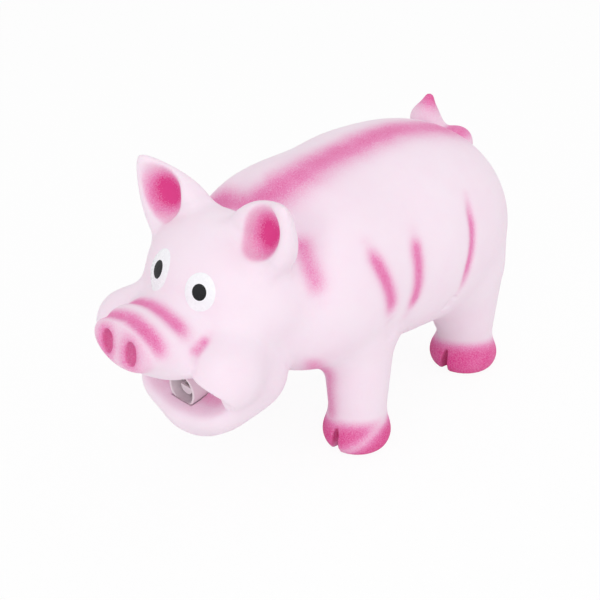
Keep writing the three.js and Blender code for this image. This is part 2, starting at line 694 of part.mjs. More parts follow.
function reedWedge() {
  const low = VOICE_GAP + REED_THICKNESS + VOICE_GAP;
  return block(
    alongTube(plugFrom, low).add(vec(-REED_WIDTH / 2, 0, 0)),
    alongTube(plugFrom + WEDGE_LENGTH, low + WEDGE_HEIGHT).add(vec(REED_WIDTH / 2, 0, 0)),
  );
}

// Materials and nodes

const latex = { color: 0xf7e3ee, roughness: 0.62, metalness: 0 };
const pinkLatex = { color: 0xecaacb, roughness: 0.62, metalness: 0 };
const whitePlastic = { color: 0xe8dfe3, roughness: 0.4, metalness: 0 };
const amberPlastic = { color: 0xd8c9a0, roughness: 0.35, metalness: 0 };
const fibre = { color: 0xf2f0ec, roughness: 0.95, metalness: 0 };

function node(name, body, finish) {
  const { vertProperties, triVerts } = body.getMesh();
  const geometry = new THREE.BufferGeometry();
  geometry.setAttribute('position', new THREE.BufferAttribute(new Float32Array(vertProperties), 3));
  geometry.setIndex(new THREE.BufferAttribute(new Uint32Array(triVerts), 1));
  geometry.computeVertexNormals();
  const mesh = new THREE.Mesh(geometry, new THREE.MeshStandardMaterial(finish));
  mesh.name = name;
  return mesh;
}

const pig = new THREE.Group();
pig.add(
  node('body_skin', bodySkin, latex),
  node('back_panel', backPanel, latex),
  node('head_skin', headSkin, latex),
  node('left_ear', leftEar.flap, pinkLatex),
  node('right_ear', rightEar.flap, pinkLatex),
  node('tail', tailFlap, pinkLatex),
  ...Object.entries(legs).map(([name, { skin: legSkin }]) => node(name, legSkin, latex)),
  node('fibre_filling', filling, fibre),
  node('voice_tube', voiceTube(), whitePlastic),
  node('reed_block', reedBlock(), whitePlastic),
  node('reed', reed(), amberPlastic),
  node('reed_wedge', reedWedge(), whitePlastic),
);

// The origin is on the floor, midway along and across the pig
const middle = new THREE.Box3().setFromObject(pig).getCenter(vec(0, 0, 0));
pig.position.set(-middle.x, -middle.y, 0);

export default pig;
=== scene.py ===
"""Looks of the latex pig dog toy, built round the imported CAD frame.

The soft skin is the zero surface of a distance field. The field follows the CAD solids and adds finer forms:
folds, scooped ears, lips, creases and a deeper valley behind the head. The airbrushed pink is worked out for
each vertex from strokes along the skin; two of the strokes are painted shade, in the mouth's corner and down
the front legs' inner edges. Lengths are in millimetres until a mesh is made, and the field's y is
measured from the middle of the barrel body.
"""

import math

import bpy
import numpy as np
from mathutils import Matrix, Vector


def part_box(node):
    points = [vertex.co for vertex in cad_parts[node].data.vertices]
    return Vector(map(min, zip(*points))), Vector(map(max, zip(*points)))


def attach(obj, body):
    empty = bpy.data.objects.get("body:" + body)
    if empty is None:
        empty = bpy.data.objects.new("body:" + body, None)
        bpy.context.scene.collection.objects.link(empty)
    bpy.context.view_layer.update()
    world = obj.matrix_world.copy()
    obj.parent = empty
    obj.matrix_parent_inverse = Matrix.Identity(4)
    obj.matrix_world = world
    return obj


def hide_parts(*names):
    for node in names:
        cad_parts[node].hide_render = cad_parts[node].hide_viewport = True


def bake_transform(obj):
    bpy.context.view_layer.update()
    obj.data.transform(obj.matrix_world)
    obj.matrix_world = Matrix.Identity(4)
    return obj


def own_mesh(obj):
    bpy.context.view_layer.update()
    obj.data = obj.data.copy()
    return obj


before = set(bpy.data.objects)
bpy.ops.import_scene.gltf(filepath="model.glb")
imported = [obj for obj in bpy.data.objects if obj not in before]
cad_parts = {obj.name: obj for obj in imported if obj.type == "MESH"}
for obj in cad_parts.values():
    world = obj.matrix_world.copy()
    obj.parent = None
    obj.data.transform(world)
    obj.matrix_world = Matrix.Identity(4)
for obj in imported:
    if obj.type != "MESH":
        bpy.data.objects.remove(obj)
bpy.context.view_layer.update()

MM = 0.001
TINY = 1e-6
LEFT = 1
RIGHT = -1
panel_low, panel_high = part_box("back_panel")
BARREL_Y = (panel_low.y + panel_high.y) / 2 / MM

# Barrel body
BARREL_AT = (0, 0, 83.5)
BARREL_HALF = (54, 74, 49.5)
SHOULDER_AT = (0, -52, 84)
SHOULDER_HALF = (51, 47, 45.5)
RUMP_AT = (0, 30, 78)
RUMP_HALF = (47, 43, 45)
BODY_BLEND = 16

# Legs: hip, foot, and the radii of hip, ankle and hoof
FRONT_RADII = (16.5, 13.5, 16)
REAR_RADII = (22, 14, 17.5)
LEGS = {
    "front_left_leg": ((30, -41, 56), (31.5, -41.5), FRONT_RADII),
    "front_right_leg": ((-30, -41, 56), (-36, -52), FRONT_RADII),
    "rear_left_leg": ((27, 38, 60), (26.5, 50), REAR_RADII),
    "rear_right_leg": ((-27, 38, 60), (-29, 27), REAR_RADII),
}
ANKLE_HEIGHT = 20
HOOF_HEIGHT = 6
HOOF_HALF_HEIGHT = 12
HOOF_BLEND = 7
LEG_BLEND = 8
CLEFT_HALF = (2.1, 8, 13)
CLEFT_ROUNDING = 1
SOLE_ROUNDING = 1.5

# Head
SKULL_AT = (0, -89, 92)
SKULL_HALF = (38.5, 33, 31)
CHEEK_AT = (29.6, -120, 72)
CHEEK_RADIUS = 14.5
CHEEK_BLEND = 14
JOWL_AT = (17, -100, 60)
JOWL_RADIUS = 19.5
JOWL_BLEND = 10
JAW_AT = (0, -108, 44)
JAW_HALF = (22, 18, 18.5)
JAW_BLEND = 10
LIP_AT = (15.5, -113, 48)
LIP_RADIUS = 12
LIP_BLEND = 6
MUZZLE_AT = (0, -124, 78)
MUZZLE_HALF = (23.5, 19, 15)
MUZZLE_BLEND = 8
SNOUT_AT = (0, -138, 84.2)
SNOUT_HALF = (19.3, 22, 10.4)
SNOUT_BLEND = 6
DISC_AT = (0, -148.4, 83)
DISC_TILT_DEG = 10
DISC_ROUNDING = 4
NOSTRIL_AT = (7.2, -147.7, 83.8)
NOSTRIL_HALF = (3.4, 6, 4.9)
NOSTRIL_ROUNDING = 1.5
SMILE_AT = (0, -140, 55)
SMILE_HALF = (59, 22, 22.7)
MOUTH_AT = (0, -124, 57)
MOUTH_HALF = (28, 20, 11.6)
UPPER_LIP_ROUNDING = 1.2
LOWER_LIP_ROUNDING = 8
LIP_CHANGE_BELOW = (-2, 4)
NECK_BLEND = 7

# Ears: pointed leaves that lean outwards, thicker at the root, with a scoop in front
EARS = {"left_ear": LEFT, "right_ear": RIGHT}
EAR_ROOT = (25.98, -92.92, 114.58)
EAR_LEAN_DEG = 26
EAR_STAND = 2
EAR_SKEW = 0.18
EAR_HALF_WIDTHS = {LEFT: 16, RIGHT: 14.5}
EAR_INWARD = {LEFT: 4, RIGHT: 0}
EAR_HALF_THICKNESS = 6.4
EAR_HALF_LENGTH = 26.5
EAR_POINT = 0.5
EAR_THINNING = 0.15
EAR_THINNING_START = -10
EAR_TURNS = {LEFT: 0.06, RIGHT: 0.22}
EAR_CURL = 0.007
EAR_ROUNDING = 5
EAR_BLEND = 4
CUP_AT = {LEFT: (-2.5, 6, 9.5), RIGHT: (0, 6, 9.5)}
CUP_HALF = (9, 8, 13)
CUP_ROUNDING = 3

# Where an ear's piece parts from the head, how far ahead and behind its root it reaches, and the rim of its
# closing face
EAR_SPLIT = 3.5
EAR_REACH = 14
CAP_INSET = 1.5

# Tail: stages of a curl, each a place from the lobe (right, out of the rump, up the rump) and a radius
TAIL_LOBE_AT = (0, 66.8, 110)
TAIL_ANGLE_DEG = 41
TAIL_STAGES = (
    ((0, -10, 0), 8),
    ((0, 0, 0), 8),
    ((9.5, 2, 2.2), 4.2),
    ((19, 5, 8), 7),
    ((17.5, 12, 15.4), 2.4),
)
TAIL_BLEND = 2.5
TAIL_BOX = ((-32, 12), (46, 82), (92, 136))
TAIL_GRID_STEP = 0.9
TAIL_SETTLE = 0.4

# Voice tube, open at the front
TUBE_END_AT = (0, -119, 50.5)
TUBE_RADIUS = 8
TUBE_WALL = 1.2
TUBE_LENGTH = 24
TUBE_BEAD = 0.8
TUBE_BEAD_AT = 18
TUBE_BEAD_HALF_WIDTH = 1
TUBE_SIDES = 96
TUBE_LIP_STEPS = 8
TUBE_BEAD_STEPS = 6
TUBE_ROOM_ROUNDING = 0.5
VOICE_LENGTH = 26.6
VOICE_GAP = 0.3

# Filling: how far it lies under the barrel and under the skin, and its lumps (height, waves, phases)
FILL_SINK = 4.2
FILL_CLEARANCE = 3
FILL_LUMPS = (
    (1.1, (0.19, 0.17, 0.21), (1, 0, 2)),
    (0.5, (0.61, 0.57, 0.66), (0, 1, 0)),
)
FILL_BOX = ((-58, 58), (-104, 80), (30, 136))
FILL_GRID_STEP = 2.5
FILL_SETTLE = 1

# Eyes: where each is painted, how much taller than its usual form, and the half sizes of white and pupil
EYES = {"left_eye": ((14.1, -118, 101.6), 1), "right_eye": ((-9.8, -118.6, 103.3), 1.17)}
EYE_WHITE_HALF = (6.9, 7.9)
PUPIL_HALF = (3.15, 3.35)
EYE_PROUD = 0.35
EYE_EDGE_PROUD = -0.05
EYE_EDGE_POWER = 6
EYE_DEPTH = 0.6
EYE_RINGS = 12
EYE_SIDES = 64
EYE_LAY_STEPS = 8
EYE_LAY_SHARE = 0.9
EYE_LAY_MOST = 1

# Routes on the skin that grooves, airbrushed strokes and strokes of painted shade follow
# The snout's folds, the neck's crease and the nape's dip are halves, from the middle out
SNOUT_FRONT_FOLD = (
    (0, -141.1, 94.5), (6.5, -141.6, 93.9), (12.4, -141.7, 92), (16.6, -141.5, 89.3), (19.3, -140.7, 85.2),
    (19.6, -138.9, 81.4),
)
SNOUT_BACK_FOLD = (
    (0, -129.6, 95.3), (7.7, -129.9, 94.4), (13.2, -129.7, 92.5), (18.1, -129, 89.3), (20.7, -127.9, 86.8),
)
CHEEK_TICK = (
    (23, -121.5, 87.8), (23.2, -123.5, 86.8), (23.5, -126.4, 85.5), (23.5, -129, 83.9), (24, -131, 81.2),
)
CHEEK_CREASE = (*CHEEK_TICK[1:4], (24.8, -133.1, 77.8), (22, -133, 72))
# Painted shade: darker pink in the mouth's corner under the cheek's edge, where shade falls
MOUTH_CORNER_SHADE = ((3, -108.5, 43.5), (12.2, -112.7, 48.8), (17.6, -113, 50.5), (25, -114, 53))
NECK_CREASE = (
    (0, -75, 121), (14, -74, 119.5), (26.9, -74, 115), (31.6, -76.5, 111.3), (35.3, -78.2, 106.7),
    (37.9, -78.7, 102.1), (40.1, -78.6, 97),
)
NAPE_DIP = ((0, -70, 124), (14, -69, 122.5), (24, -67, 119), (31, -66, 113))
NECK = (
    (20, -71.5, 114.5), (27, -73.6, 109.5), (29.7, -75.2, 106.9), (34.2, -77, 103.2), (37.6, -77.7, 99.4),
    (39.4, -77.7, 95.6), (40.6, -77.3, 92.1),
)
SHOULDER = (
    (42.6, -52.2, 109.3), (45.9, -51.8, 104.4), (48.6, -50.5, 99.3), (50.7, -48.3, 93), (51.7, -46.3, 86.3),
    (51.7, -45.1, 80.3), (50.7, -44.2, 74),
)
LEG_BACK = (SHOULDER[-1], (48.4, -39.5, 65.2), (47.5, -40, 58.4))
FLANK = (
    (45.8, -25.5, 106.2), (49.4, -27.3, 98.1), (51, -27.6, 92.4), (51.8, -28, 86.4), (51.7, -29, 80.3),
    (50.8, -31, 74.2), (50, -32.2, 71.2),
)
THIGH = (
    (44.1, 14, 111), (48.7, 11.7, 103.8), (51.1, 11, 98.2), (52.8, 9.7, 92.7), (53.7, 8.2, 86.9),
    (53.9, 6.6, 81.6), (53.4, 5.8, 75.8), (52.2, 5.3, 70.4), (50.8, 3.7, 66.2),
)
GROIN = (THIGH[-1], (49, 1.3, 62.3), (46, 1.5, 57))
# Airbrushed pink in the armpit, carried on down the front leg's inner edge as painted shade
ARMPIT_AND_LEG_SHADE = (
    (39.1, -72.1, 62.1), (36, -73.7, 59.5), (28.5, -68, 50.5), (26, -58.5, 42.5), (25.5, -56, 34),
    (25.5, -55.5, 24), (25, -56, 10),
)
NAPE = (
    (-38, -66, 99), (-27, -69.5, 111.5), (-16.9, -71.5, 114.2), (-9.4, -70.9, 116.3), (-4.7, -67.8, 119.5),
    (1.5, -63.7, 124.1), (4.8, -58.2, 127.9), (6, -50.3, 129.9),
)
SPINE = (
    *NAPE[-4:], (4.1, -39.1, 130.8), (3.6, -25.7, 131.1), (3.9, -12.7, 132.1), (4.5, 0.3, 132.8),
    (4.8, 14.4, 132.2), (7.5, 24.2, 131.2), (10, 38.4, 127.4), (8, 52, 121),
)


def side_to_side(half):
    """A route from side to side: half a route and its mirror image."""
    return (*((-x, y, z) for x, y, z in reversed(half[1:])), *half)


# Valleys behind the head, and grooves pressed into the skin: depth, half-width, route
VALLEYS = (
    (7, 8, side_to_side(NECK_CREASE)),
    (4, 11, side_to_side(NAPE_DIP)),
)
GROOVES = (
    (1.7, 2.6, side_to_side(SNOUT_FRONT_FOLD)),
    (1.5, 2.6, side_to_side(SNOUT_BACK_FOLD)),
)
SIDE_GROOVES = (
    (1, 2, CHEEK_CREASE),
    (0.6, 3, SHOULDER),
    (0.8, 3, LEG_BACK),
    (1, 3, THIGH),
    (1.3, 3, GROIN),
)

# Airbrushed strokes, the mouth's corner one and the armpit one's lower part being painted shade: half-width,
# strength, share of the length that fades at each end, route
STROKES = (
    (9.5, 0.56, 0.05, SPINE),
    (7, 0.58, 0.2, NAPE),
    (3.2, 0.73, 0.2, side_to_side(SNOUT_FRONT_FOLD)),
    (3.2, 0.64, 0.2, side_to_side(SNOUT_BACK_FOLD)),
    (2, 0.56, 0.35, CHEEK_TICK),
)
SIDE_STROKES = (
    (3.3, 0.62, 0.25, SHOULDER),
    (3.3, 0.58, 0.22, FLANK),
    (2.3, 0.6, 0.3, THIGH),
    (4.4, 0.4, 0.25, NECK),
    # Armpit pink, and painted shade down the front legs' inner edges
    (5.5, 0.4, 0.15, ARMPIT_AND_LEG_SHADE),
    # Painted shade in the mouth's corner, under the cheek's edge
    (5, 0.32, 0.3, MOUTH_CORNER_SHADE),
)

# Ends of strokes and grooves: what is left of them there, and over which share of the length they fade
STROKE_END = 0.12
GROOVE_END_SHARE = 0.2

# Ear paint: the middle and half sizes of its pink heart (across, along), and where it ends
HEART_AT = {LEFT: (-2, 6.5), RIGHT: (1.6, 8)}
HEART_HALF = (6, 7.5)
HEART_STRENGTH = 1.6
HEART_OFF_CUP = (-1.6, -0.2)
HEART_AHEAD = (-4, -1)

# Nose, nostril and mouth paint: strengths, and the distances over which each sets in
NOSE_PINK = 0.14
NOSE_FORWARD = (143, 147.5)
NOSTRIL_PINK = 0.62
NOSTRIL_INSIDE = (-1.6, 0.4)
NOSTRIL_WET = (-1.2, 0.4)
NOSTRIL_HALO = 0.3
NOSTRIL_HALO_WIDTH = 3.2
MOUTH_PINK = 0.1
MOUTH_OFF_WALL = (-3, 0)
MOUTH_FORWARD = (95, 105)

# Tail paint: all over, round the tip, and on the lobe's top
TAIL_PINK = 0.12
TAIL_TIP_PINK = 0.75
TAIL_TIP_AT = np.add(TAIL_LOBE_AT, (-17.5, 0, 20))
TAIL_TIP_REACH = 6
LOBE_PINK = 0.5
LOBE_HEIGHT = (112, 118)
LOBE_SIDE = (-8, -2)

# Hoof paint: height of its line, slope to the outer front, blur, strength, and the thin streak in front
HOOF_LINE = 12.5
HOOF_LINE_SLOPE = 0.26
HOOF_LINE_BLUR = 5
HOOF_PINK = 0.8
HOOF_STREAK = 0.5
HOOF_STREAK_HEIGHT = 7.2
HOOF_STREAK_SLOPE = 0.76
HOOF_STREAK_HALF_WIDTH = 4.2
HOOF_STREAK_AHEAD = (2, 8)
HOOF_PAINT_REACH = 8

# Surface grid: spacing across and up, along the head, and along the body
GRID_STEP = 1.0
GRID_HEAD_STEP = 0.85
GRID_BODY_STEP = 1.4
GRID_HALF_WIDTH = 59
GRID_FRONT = -157
GRID_HEAD_END = -72
GRID_BACK = 80
GRID_BOTTOM = -2
GRID_TOP = 144
SETTLE_STEPS = 4
SLOPE_STEP = 0.05


# Distance field

def swell(p, at, half):
    """Distance outside an ellipsoid, or outside an ellipse when p has two coordinates."""
    offset = [(c - a) / h for c, a, h in zip(p, at, half)]
    share = np.sqrt(sum(o * o for o in offset))
    slope = np.sqrt(sum((o / h) ** 2 for o, h in zip(offset, half)))
    return share * (share - 1) / np.maximum(slope, TINY)


def ball(p, at, radius):
    return np.sqrt(sum((c - a) ** 2 for c, a in zip(p, at))) - radius


def limb(p, start, end, start_radius, end_radius):
    """Distance outside a tapering round rod."""
    along = np.subtract(end, start).astype(float)
    length = float(np.linalg.norm(along))
    axis = [float(a) for a in along / length]
    lean = (start_radius - end_radius) / length
    rise = math.sqrt(1 - lean * lean)
    offset = [c - s for c, s in zip(p, start)]
    height = sum(o * a for o, a in zip(offset, axis))
    square = sum(o * o for o in offset)
    out = np.sqrt(np.maximum(square - height * height, 0))
    place = rise * height - lean * out
    to_end = np.sqrt(np.maximum(square - 2 * height * length + length * length, 0)) - end_radius
    flank = rise * out + lean * height - start_radius
    return np.where(place < 0, np.sqrt(square) - start_radius, np.where(place > rise * length, to_end, flank))


def join(a, b, radius):
    """Union of two fields with a soft crease of that radius."""
    share = np.clip(0.5 + 0.5 * (b - a) / radius, 0, 1)
    return b + (a - b) * share - radius * share * (1 - share)


def cut(a, b, radius):
    """Field a less field b, with a soft edge of that radius."""
    return -join(-a, b, radius)


def ramp(value, low, high):
    """0 at low, 1 at high, smooth between them."""
    share = np.clip((value - low) / (high - low), 0, 1)
    return share * share * (3 - 2 * share)


def mirrored(p):
    return (np.abs(p[0]), p[1], p[2])


def route_distance(p, route):
    """Distance from a route of points, and the route's length."""
    points = np.array(route, float)
    nearest = np.inf
    length = 0
    for start, end in zip(points[:-1], points[1:]):
        step = float(np.linalg.norm(end - start))
        toward = (end - start) / step
        offset = [c - s for c, s in zip(p, start)]
        along = np.clip(sum(o * w for o, w in zip(offset, toward)), 0, step)
        gap = np.sqrt(sum((o - along * w) ** 2 for o, w in zip(offset, toward)))
        nearest = np.minimum(nearest, gap)
        length += step
    return nearest, length


def brushed(p, half_width, strength, route, end_share=GROOVE_END_SHARE):
    """A soft stroke along a route, fainter towards its ends."""
    gap, length = route_distance(p, route)
    fade = 1
    for end, inner in ((route[0], route[1]), (route[-1], route[-2])):
        inward = np.subtract(inner, end) / np.linalg.norm(np.subtract(inner, end))
        past_end = sum((c - e) * w for c, e, w in zip(p, end, inward))
        fade = fade * (STROKE_END + (1 - STROKE_END) * ramp(past_end, 0, end_share * length))
    return strength * fade * np.exp(-((gap / half_width) ** 2))


def torso(p):
    body = join(swell(p, BARREL_AT, BARREL_HALF), swell(p, RUMP_AT, RUMP_HALF), BODY_BLEND)
    return join(body, swell(p, SHOULDER_AT, SHOULDER_HALF), BODY_BLEND)


def leg(p, hip, foot, radii):
    hip_radius, ankle_radius, hoof_radius = radii
    rod = limb(p, hip, (*foot, ANKLE_HEIGHT), hip_radius, ankle_radius)
    hoof = swell(p, (*foot, HOOF_HEIGHT), (hoof_radius, hoof_radius, HOOF_HALF_HEIGHT))
    whole = join(rod, hoof, HOOF_BLEND)
    cleft = swell(p, (foot[0], foot[1] - hoof_radius, 0), CLEFT_HALF)
    return cut(whole, cleft, CLEFT_ROUNDING)


def snout(p):
    tilt = math.radians(DISC_TILT_DEG)
    tube = swell(p, SNOUT_AT, SNOUT_HALF)
    past_disc = -(p[1] - DISC_AT[1]) * math.cos(tilt) + (p[2] - DISC_AT[2]) * math.sin(tilt)
    front = cut(tube, -past_disc, DISC_ROUNDING)
    return join(front, swell(p, MUZZLE_AT, MUZZLE_HALF), MUZZLE_BLEND)


def nostrils(p):
    return swell(mirrored(p), NOSTRIL_AT, NOSTRIL_HALF)


def mouth(p):
    return swell(p, MOUTH_AT, MOUTH_HALF)


def head(p):
    skull = join(swell(p, SKULL_AT, SKULL_HALF), ball(mirrored(p), JOWL_AT, JOWL_RADIUS), JOWL_BLEND)
    cheeked = join(skull, ball(mirrored(p), CHEEK_AT, CHEEK_RADIUS), CHEEK_BLEND)
    upper = cut(cheeked, swell(p, SMILE_AT, SMILE_HALF), UPPER_LIP_ROUNDING)
    jaw = join(swell(p, JAW_AT, JAW_HALF), ball(mirrored(p), LIP_AT, LIP_RADIUS), LIP_BLEND)
    jawed = join(upper, jaw, JAW_BLEND)
    low = ramp(MOUTH_AT[2] - p[2], *LIP_CHANGE_BELOW)
    lip = UPPER_LIP_ROUNDING + (LOWER_LIP_ROUNDING - UPPER_LIP_ROUNDING) * low
    opened = cut(join(jawed, snout(p), SNOUT_BLEND), mouth(p), lip)
    return cut(opened, nostrils(p), NOSTRIL_ROUNDING)


def ear_places(p, side):
    """Places on a turned and curled ear: outwards across it, ahead of its middle and along it."""
    lean = math.radians(EAR_LEAN_DEG)
    out = side * p[0] - EAR_ROOT[0]
    up = p[2] - EAR_ROOT[2]
    along = out * math.sin(lean) + up * math.cos(lean) - EAR_STAND
    across = out * math.cos(lean) - up * math.sin(lean)
    ahead = EAR_ROOT[1] - p[1] - EAR_TURNS[side] * across - EAR_CURL * np.maximum(along, 0) ** 2
    return across, ahead, along


def ear_blade(p, side):
    across, ahead, along = ear_places(p, side)
    share = np.clip(along / EAR_HALF_LENGTH, -1, 1)
    narrowed = 1 - EAR_POINT * np.maximum(share, 0) ** 2
    aside = (across - EAR_SKEW * along + EAR_INWARD[side] * narrowed) / narrowed
    leaf = swell((aside, along), (0, 0), (EAR_HALF_WIDTHS[side], EAR_HALF_LENGTH))
    thinner = EAR_THINNING * np.clip(along, EAR_THINNING_START, EAR_HALF_LENGTH)
    slab = np.abs(ahead) - EAR_HALF_THICKNESS + thinner
    return cut(leaf, -slab, EAR_ROUNDING)


def ear_cup(p, side):
    return swell(ear_places(p, side), CUP_AT[side], CUP_HALF)


def tube_room(p):
    """The round hole in the mouth's back wall that the voice tube stands in."""
    out = np.sqrt((p[0] - TUBE_END_AT[0]) ** 2 + (p[2] - TUBE_END_AT[2]) ** 2) - TUBE_RADIUS - VOICE_GAP
    middle = TUBE_END_AT[1] + VOICE_LENGTH / 2
    ends = np.abs(p[1] - middle) - VOICE_LENGTH / 2 - VOICE_GAP
    return np.maximum(out, ends)


def skin_form(p):
    """The whole skin less its fine grooves."""
    form = torso(p)
    for hip, foot, radii in LEGS.values():
        form = join(form, leg(p, hip, foot, radii), LEG_BLEND)
    form = join(form, head(p), NECK_BLEND)
    for depth, half_width, route in VALLEYS:
        form = form + brushed(p, half_width, depth, route)
    for side in (LEFT, RIGHT):
        form = join(form, ear_blade(p, side), EAR_BLEND)
        form = cut(form, ear_cup(p, side), CUP_ROUNDING)
    form = cut(form, tube_room(p), TUBE_ROOM_ROUNDING)
    return cut(form, p[2], SOLE_ROUNDING)


def skin_field(p):
    """The skin with its grooves."""
    form = skin_form(p)
    for depth, half_width, route in GROOVES:
        form = form + brushed(p, half_width, depth, route)
    for depth, half_width, route in SIDE_GROOVES:
        form = form + brushed(mirrored(p), half_width, depth, route)
    return form


def tail_field(p):
    angle = math.radians(TAIL_ANGLE_DEG)
    rise = np.array((0, math.cos(angle), math.sin(angle)))
    run = np.array((0, -math.sin(angle), math.cos(angle)))
    places = []
    for (right, out, up), radius in TAIL_STAGES:
        at = np.array(TAIL_LOBE_AT) + np.array((-right, 0, 0)) + out * rise + up * run
        places.append((at, radius))
    form = None
    for (start, start_radius), (end, end_radius) in zip(places[:-1], places[1:]):
        stretch = limb(p, start, end, start_radius, end_radius)
        form = stretch if form is None else join(form, stretch, TAIL_BLEND)
    return form


# Surface of a field

def axis_steps(stops, steps):
    """Grid positions from stop to stop, with one spacing for each stretch."""
    parts = [np.arange(a, b, step) for a, b, step in zip(stops[:-1], stops[1:], steps)]
    return np.concatenate([*parts, [stops[-1]]])


def grid_axes(box, step):
    """Grid positions along the three sides of a box."""
    return [axis_steps(stops, (step,)) for stops in box]


def slope(field, points):
    """Unit normals of a field at points."""
    sides = []
    for axis in range(3):
        shift = np.zeros(3)
        shift[axis] = SLOPE_STEP
        sides.append(field((points + shift).T) - field((points - shift).T))
    normals = np.stack(sides, 1) / (2 * SLOPE_STEP)
    lengths = np.maximum(np.linalg.norm(normals, axis=1), TINY)
    return normals / lengths[:, None], lengths


def settle(field, points, most):
    """Moves points onto a field's surface, each step no further than most."""
    for _ in range(SETTLE_STEPS):
        normals, lengths = slope(field, points)
        move = np.clip(field(points.T) / lengths, -most, most)
        points = points - move[:, None] * normals
    return points


def surface(field, xs, ys, zs):
    """Vertices and four-sided faces of a field's zero surface on a grid."""
    axes = (xs, ys, zs)
    values = field(np.meshgrid(*(a.astype(np.float32) for a in axes), indexing="ij", sparse=True))
    inside = values < 0
    shape = np.array(values.shape) - 1
    corners = [(i, j, k) for i in (0, 1) for j in (0, 1) for k in (0, 1)]
    count = np.zeros(shape, np.int8)
    for i, j, k in corners:
        count += inside[i:shape[0] + i, j:shape[1] + j, k:shape[2] + k]
    active = (count > 0) & (count < len(corners))
    cells = np.argwhere(active)
    index = np.full(shape, -1)
    index[active] = np.arange(len(cells))
    total = np.zeros((len(cells), 3))
    crossings = np.zeros(len(cells))
    for corner in corners:
        for axis in range(3):
            if corner[axis]:
                continue
            first = cells + corner
            second = first.copy()
            second[:, axis] += 1
            a = values[tuple(first.T)]
            b = values[tuple(second.T)]
            crossed = (a < 0) != (b < 0)
            share = np.where(crossed, a / np.where(crossed, a - b, 1), 0)
            place = first.astype(float)
            place[:, axis] += share
            total[crossed] += place[crossed]
            crossings[crossed] += 1
    mean = total / crossings[:, None]
    vertices = np.stack([np.interp(mean[:, i], np.arange(len(a)), a) for i, a in enumerate(axes)], 1)
    faces = []
    for axis in range(3):
        others = [i for i in range(3) if i != axis]
        before = np.take(inside, range(values.shape[axis] - 1), axis)
        after = np.take(inside, range(1, values.shape[axis]), axis)
        edges = np.argwhere(before != after)
        kept = np.all((edges[:, others] > 0) & (edges[:, others] < shape[others]), axis=1)
        edges = edges[kept]
        around = []
        for back in ((0, 0), (1, 0), (1, 1), (0, 1)):
            cell = edges.copy()
            cell[:, others] -= back
            around.append(index[tuple(cell.T)])
        quads = np.stack(around, 1)
        outward = inside[tuple(edges.T)] if axis != 1 else ~inside[tuple(edges.T)]
        quads[~outward] = quads[~outward][:, ::-1]
        faces.append(quads)
    return vertices, np.concatenate(faces)


# Paint

def ear_paint(points, side):
    across, ahead, along = ear_places(points.T, side)
    aside = (across - HEART_AT[side][0]) / HEART_HALF[0]
    up = (along - HEART_AT[side][1]) / HEART_HALF[1]
    heart = np.exp(-aside ** 2 - up ** 2)
    in_cup = ramp(-np.abs(ear_cup(points.T, side)), *HEART_OFF_CUP)
    return HEART_STRENGTH * heart * in_cup * ramp(ahead, *HEART_AHEAD)


def hoof_paint(points):
    """Hooves sprayed from the outer front: a sloping line, and a thin streak on the front ones."""
    low = np.zeros(len(points))
    height = points[:, 2]
    for _, foot, radii in LEGS.values():
        ahead = foot[1] - points[:, 1]
        outward = (points[:, 0] - foot[0]) * np.sign(foot[0])
        on_hoof = np.hypot(ahead, outward) < radii[2] + HOOF_PAINT_REACH
        to_front = (outward + ahead) / np.sqrt(2)
        to_back = (outward - ahead) / np.sqrt(2)
        line = HOOF_LINE + HOOF_LINE_SLOPE * to_front
        coat = ramp(-height, -line - HOOF_LINE_BLUR, -line + HOOF_LINE_BLUR) * on_hoof
        off_streak = height - HOOF_STREAK_HEIGHT - HOOF_STREAK_SLOPE * to_back
        streak = np.exp(-((off_streak / HOOF_STREAK_HALF_WIDTH) ** 2))
        streak = streak * ramp(to_front, *HOOF_STREAK_AHEAD) * (foot[1] < 0)
        low = np.maximum(low, (HOOF_PINK - HOOF_STREAK * streak) * coat)
    return low


def snout_paint(points):
    at_nose = ramp(-points[:, 1], *NOSE_FORWARD)
    off_nostril = nostrils(points.T)
    halo = np.exp(-((np.maximum(off_nostril, 0) / NOSTRIL_HALO_WIDTH) ** 2))
    nose = (NOSE_PINK + NOSTRIL_HALO * halo) * at_nose
    return np.maximum(nose, NOSTRIL_PINK * ramp(-off_nostril, *NOSTRIL_INSIDE))


def mouth_paint(points):
    on_wall = ramp(-np.abs(mouth(points.T)), *MOUTH_OFF_WALL)
    return MOUTH_PINK * on_wall * ramp(-points[:, 1], *MOUTH_FORWARD)


def skin_paint(points):
    p = points.T
    pink = np.maximum(hoof_paint(points), snout_paint(points))
    pink = np.maximum(pink, mouth_paint(points))
    for side in (LEFT, RIGHT):
        pink = np.maximum(pink, ear_paint(points, side) * (points[:, 0] * side > 0))
    for half_width, strength, end_share, route in STROKES:
        pink = np.maximum(pink, brushed(p, half_width, strength, route, end_share))
    for half_width, strength, end_share, route in SIDE_STROKES:
        pink = np.maximum(pink, brushed(mirrored(p), half_width, strength, route, end_share))
    return pink


def tail_paint(points):
    near_tip = np.exp(-((np.linalg.norm(points - TAIL_TIP_AT, axis=1) / TAIL_TIP_REACH) ** 2))
    on_lobe = ramp(points[:, 2], *LOBE_HEIGHT) * ramp(points[:, 0], *LOBE_SIDE)
    return np.clip(TAIL_PINK + TAIL_TIP_PINK * near_tip + LOBE_PINK * on_lobe, 0, 1)


def skin_gloss(points):
    return ramp(-nostrils(points.T), *NOSTRIL_WET)


# Pieces

def to_frame(points):
    """Field millimetres to frame metres."""
    return (np.asarray(points, float) + (0, BARREL_Y, 0)) * MM


